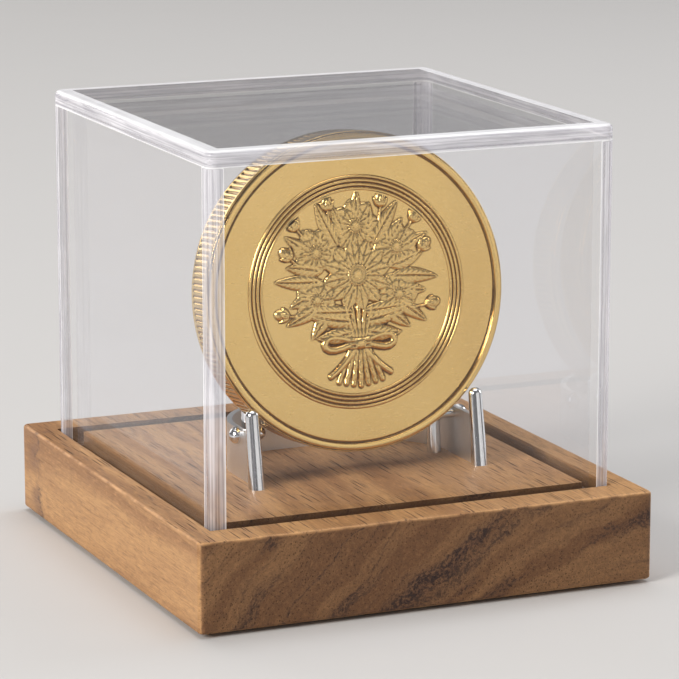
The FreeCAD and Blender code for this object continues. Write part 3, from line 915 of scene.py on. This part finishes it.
def add_design(name, radius, face, cells, adders, props, matrix, material, back):
    """The struck middle of a face: a fine grid raised by the design."""
    x, y, faces = disc_grid(radius, cells)
    spread = props.design_spread
    relief = Relief(x / spread, y / spread)
    for adder in adders:
        adder(relief)
    height = relief.height * props.relief / MM
    square = height.reshape(cells + 1, cells + 1)
    # Painted shade: points that lie below the mean of their neighbours are darkened, as shade in
    # the creases.
    padded = np.pad(square, 2, mode="edge")
    around = sum(np.roll(np.roll(padded, i, 0), j, 1) for i in (-2, 0, 2) for j in (-2, 0, 2)) / 9
    crease_shade = np.clip((around[2:-2, 2:-2] - square) / 0.20, 0, 1).ravel()
    points = np.stack([x, y, face + height], -1) * MM
    if back:
        points = points * (-1, 1, -1)
    piece = add_piece(name, points, faces, [material], matrix=matrix)
    mark_painted_shade(piece, crease_shade)
    return piece


def face_profile(props, radius, inner):
    """Rows of radius, height over the field and painted shade, in millimetres, out to the rim's
    foot.
    """
    first, pitch = props.ring_start / MM, props.ring_pitch / MM
    half, rise = 0.37, 0.42
    rows = [(inner, 0.0, 0.0), ((inner + first) / 2, 0.0, 0.0)]
    for number in range(props.ring_count):
        middle = first + pitch * number
        for share, height in ((-1, 0.0), (-0.9, 0.5), (-0.5, 0.92), (0, 1.0),
                              (0.5, 0.92), (0.9, 0.5), (1, 0.0)):
            # Painted shade at the foot of each ring.
            rows.append((middle + half * share, rise * height, 0.9 if height == 0.0 else 0.0))
    start = radius - EDGE_WIDTH - props.rim_width / MM
    rise = props.rim_height / MM
    rows += [(rows[-1][0] + share, 0.0, 0.0) for share in (0.12, 0.3)]
    rows += [(start - share, 0.0, 0.0) for share in (0.9, 0.7, 0.56)]
    # Painted shade in the channel just inside the rim.
    rows += [(start - 0.46, -0.16, 0.9), (start - 0.1, -0.16, 0.9),
             (start, 0.0, 0.3), (start + 0.1, rise * 0.6, 0.0)]
    width = props.rim_width / MM - 0.25
    for number in range(9):
        turn = math.pi * number / 8
        along = start + 0.15 + width * (1 - math.cos(turn)) / 2
        rows.append((along, rise * (0.78 + 0.22 * math.sin(turn)), 0.0))
    # Painted shade where the rim meets the edge.
    rows.append((radius - EDGE_WIDTH, rise * 0.15, 0.6))
    return rows


def edge_profile(props, radius, half):
    """Rows of radius, height, painted shade and reed depth over the edge, from front to back."""
    foot = half - props.rim_height / MM
    depth = props.reed_depth / MM
    front = [(radius - EDGE_WIDTH, foot + 0.08, 0.6, 0.0), (radius - 0.42, foot - 0.3, 0.9, 0.0),
             (radius - 0.34, foot - 0.3, 0.9, 0.0), (radius - 0.26, foot - 0.10, 0.0, 0.0),
             (radius - 0.14, foot - 0.18, 0.0, 0.0), (radius - 0.03, foot - 0.45, 0.0, 0.0),
             (radius, foot - 0.9, 0.0, 0.0), (radius, foot - 1.5, 0.0, 0.0),
             (radius, foot - 1.8, 0.0, 0.6 * depth), (radius, foot - 2.3, 0.0, depth)]
    back = [(reach, -height, tone, reed) for reach, height, tone, reed in reversed(front)]
    return front + back


def add_turned(name, rows, segments, materials, matrix, bright_from=math.inf, reeds=0, back=False):
    """Turns a profile about the medal's axis; rows from bright_from on take the second finish."""
    rows = np.asarray(rows, float)
    angle = 2 * np.pi * np.arange(segments) / segments
    radius, height, tone = (np.repeat(rows[:, k:k + 1], segments, 1) for k in range(3))
    if reeds:
        cut = rows[:, 3:] * np.abs(np.sin(angle * reeds / 2))[None] ** 0.7
        radius = radius - rows[:, 3:] + cut
        # Painted shade: the edge is darkened where the reeds cut in.
        tone = tone + np.clip(0.9 * (1 - cut / (rows[:, 3:] + 1e-9)), 0, 1) * (rows[:, 3:] > 0)
    points = np.stack([radius * np.cos(angle), radius * np.sin(angle), height], -1) * MM
    marks = np.repeat(np.arange(len(rows) - 1) >= bright_from, segments)
    if back:
        points = points * (-1, 1, -1)
    faces = grid_faces(len(rows), segments, True)
    piece = add_piece(name, points.reshape(-1, 3), faces[:, ::-1], materials, marks, matrix)
    mark_painted_shade(piece, tone.ravel())
    return piece


class COINFRAME_OT_medal(bpy.types.Operator):
    """Builds the struck medal: designs, rings, rims and reeded edge"""

    bl_idname = "coinframe.medal"
    bl_label = "Medal"

    def execute(self, context):
        props = context.scene.coinframe_medal
        matrix = coin_matrix()
        local = matrix.inverted()
        places = np.array([local @ vertex.co for vertex in frame["nodes"]["coin"].data.vertices])
        radius = np.hypot(places[:, 0], places[:, 1]).max() / MM
        half = places[:, 2].max() / MM
        field = half - props.rim_height / MM
        inner = props.ring_start / MM - 0.8
        satin = struck_gold(props, "satin_gold", props.satin)
        bright = struck_gold(props, "bright_gold", props.polish)
        rows = [(reach, field + height, tone) for reach, height, tone
                in face_profile(props, radius, inner)]
        rim_row = len(rows) - RIM_ROWS
        adders = (add_foliage, add_stalks, add_blooms)
        pieces = [
            add_design("medal_front_design", inner, field, FRONT_CELLS, adders, props, matrix,
                       satin, False),
            add_design("medal_back_design", inner, field, BACK_CELLS, (add_wreath,), props, matrix,
                       satin, True),
            add_turned("medal_front_face", rows, 4 * FRONT_CELLS, [satin, bright], matrix,
                       rim_row),
            add_turned("medal_back_face", rows, 4 * BACK_CELLS, [satin, bright], matrix,
                       rim_row, back=True),
            add_turned("medal_reeded_edge", edge_profile(props, radius, half),
                       props.reeds * REED_STEPS, [bright], matrix, reeds=props.reeds),
        ]
        for piece in pieces:
            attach(piece, "medal")
            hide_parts("coin")
        return {"FINISHED"}


# --- Stage ---

def pale_floor(props):
    """A pale matt floor with a very faint mottling."""
    floor = Finish("pale_floor")
    place = floor.place()
    mottle = floor.noise(place, scale=0.02, detail=3.0)
    tone = floor.mix(mottle * 0.12, props.floor, tint(props.floor, 0.9))
    surface = floor.principled(Base_Color=tone, Roughness=0.6, Specular_IOR_Level=0.25)
    return floor.done(surface)


LAMPS = (     # name, place, width, height, power, colour
    ("key_light", (-1.9, -0.7, 1.05), 0.8, 0.8, 44.0, (1.0, 0.97, 0.93)),
    ("front_light", (0.55, -1.25, 0.36), 1.5, 0.7, 2.5, (1.0, 0.97, 0.93)),
    ("top_light", (0.2, 0.3, 2.2), 2.0, 2.0, 35.0, (0.97, 0.98, 1.0)),
    ("back_light", (-0.55, 2.0, 0.55), 1.1, 0.8, 7.0, (1.0, 0.97, 0.92)),
    ("right_light", (1.6, 0.2, 0.6), 0.7, 0.9, 9.0, (0.95, 0.97, 1.0)),
)


def add_softbox(name, place, aim, width, height, power, colour):
    """A soft rectangular lamp that faces its aim and isn't itself seen."""
    lamp = bpy.data.lights.new(name, "AREA")
    lamp.shape = "RECTANGLE"
    lamp.size = width
    lamp.size_y = height
    lamp.energy = power
    lamp.color = colour
    holder = bpy.data.objects.new(name, lamp)
    holder.location = place
    holder.rotation_euler = (Vector(aim) - Vector(place)).to_track_quat("-Z", "Y").to_euler()
    holder.visible_camera = False
    bpy.context.scene.collection.objects.link(holder)


class COINFRAME_OT_stage(bpy.types.Operator):
    """Sets up the floor, the soft lights and the camera"""

    bl_idname = "coinframe.stage"
    bl_label = "Stage"

    def execute(self, context):
        props = context.scene.coinframe_stage
        count = 96
        turns = [2 * math.pi * number / count for number in range(count)]
        reaches = [props.floor_size * share for share in (0.05, 0.3, 1.0)]
        points = [(reach * math.cos(turn), reach * math.sin(turn), 0.0)
                  for reach in reaches for turn in turns]
        faces = [tuple(range(count))]
        faces += [tuple(face) for face in grid_faces(3, count, True)[:, ::-1]]
        floor = add_piece("floor", points, faces, [pale_floor(props)])

        world = bpy.data.worlds.new("soft_room")
        world.use_nodes = True
        world.node_tree.nodes["Background"].inputs["Color"].default_value = (*props.room, 1.0)
        context.scene.world = world
        context.scene.view_settings.view_transform = "Standard"
        middle = (CAD_BOX[0] + CAD_BOX[1]) / 2
        for name, place, width, height, power, colour in LAMPS:
            add_softbox(name, place, middle, width, height, power, colour)

        data = bpy.data.cameras.new("camera")
        data.lens = props.lens
        data.sensor_width = 36.0
        data.clip_end = 50.0
        camera = bpy.data.objects.new("camera", data)
        turn, rise = props.azimuth, props.elevation
        right = Vector((math.cos(turn), math.sin(turn), 0.0))
        back = Vector((math.sin(turn) * math.cos(rise), -math.cos(turn) * math.cos(rise),
                       math.sin(rise)))
        matrix = Matrix((right, back.cross(right), back)).transposed().to_4x4()
        matrix.translation = Vector(props.place)
        camera.matrix_world = matrix
        context.scene.collection.objects.link(camera)
        context.scene.camera = camera
        return {"FINISHED"}


# --- Panel and registration ---

GROUPS = {
    "coinframe_wood": CoinFrameWood,
    "coinframe_cover": CoinFrameCover,
    "coinframe_medal": CoinFrameMedal,
    "coinframe_cradle": CoinFrameCradle,
    "coinframe_stage": CoinFrameStage,
}
OPERATORS = (
    COINFRAME_OT_stage,
    COINFRAME_OT_wood_base,
    COINFRAME_OT_foot_pads,
    COINFRAME_OT_cradle,
    COINFRAME_OT_fasteners,
    COINFRAME_OT_medal,
    COINFRAME_OT_clear_cover,
)


class COINFRAME_PT_panel(bpy.types.Panel):
    """Lists the steps that build the coin display frame"""

    bl_idname = "COINFRAME_PT_panel"
    bl_label = "Coin Display Frame"
    bl_space_type = "VIEW_3D"
    bl_region_type = "UI"
    bl_category = "Coin Frame"

    def draw(self, context):
        for operator in OPERATORS:
            self.layout.operator(operator.bl_idname)
        for name, group in GROUPS.items():
            box = self.layout.box()
            box.label(text=group.__doc__)
            for key in group.__annotations__:
                box.prop(getattr(context.scene, name), key)


def register():
    for name, group in GROUPS.items():
        bpy.utils.register_class(group)
        setattr(bpy.types.Scene, name, PointerProperty(type=group))
    for kind in (*OPERATORS, COINFRAME_PT_panel):
        bpy.utils.register_class(kind)


def unregister():
    for kind in reversed((*OPERATORS, COINFRAME_PT_panel)):
        bpy.utils.unregister_class(kind)
    for name, group in GROUPS.items():
        delattr(bpy.types.Scene, name)
        bpy.utils.unregister_class(group)


def main():
    register()
    for operator in OPERATORS:
        area, action = operator.bl_idname.split(".")
        getattr(getattr(bpy.ops, area), action)()


if __name__ == "__main__":
    main()
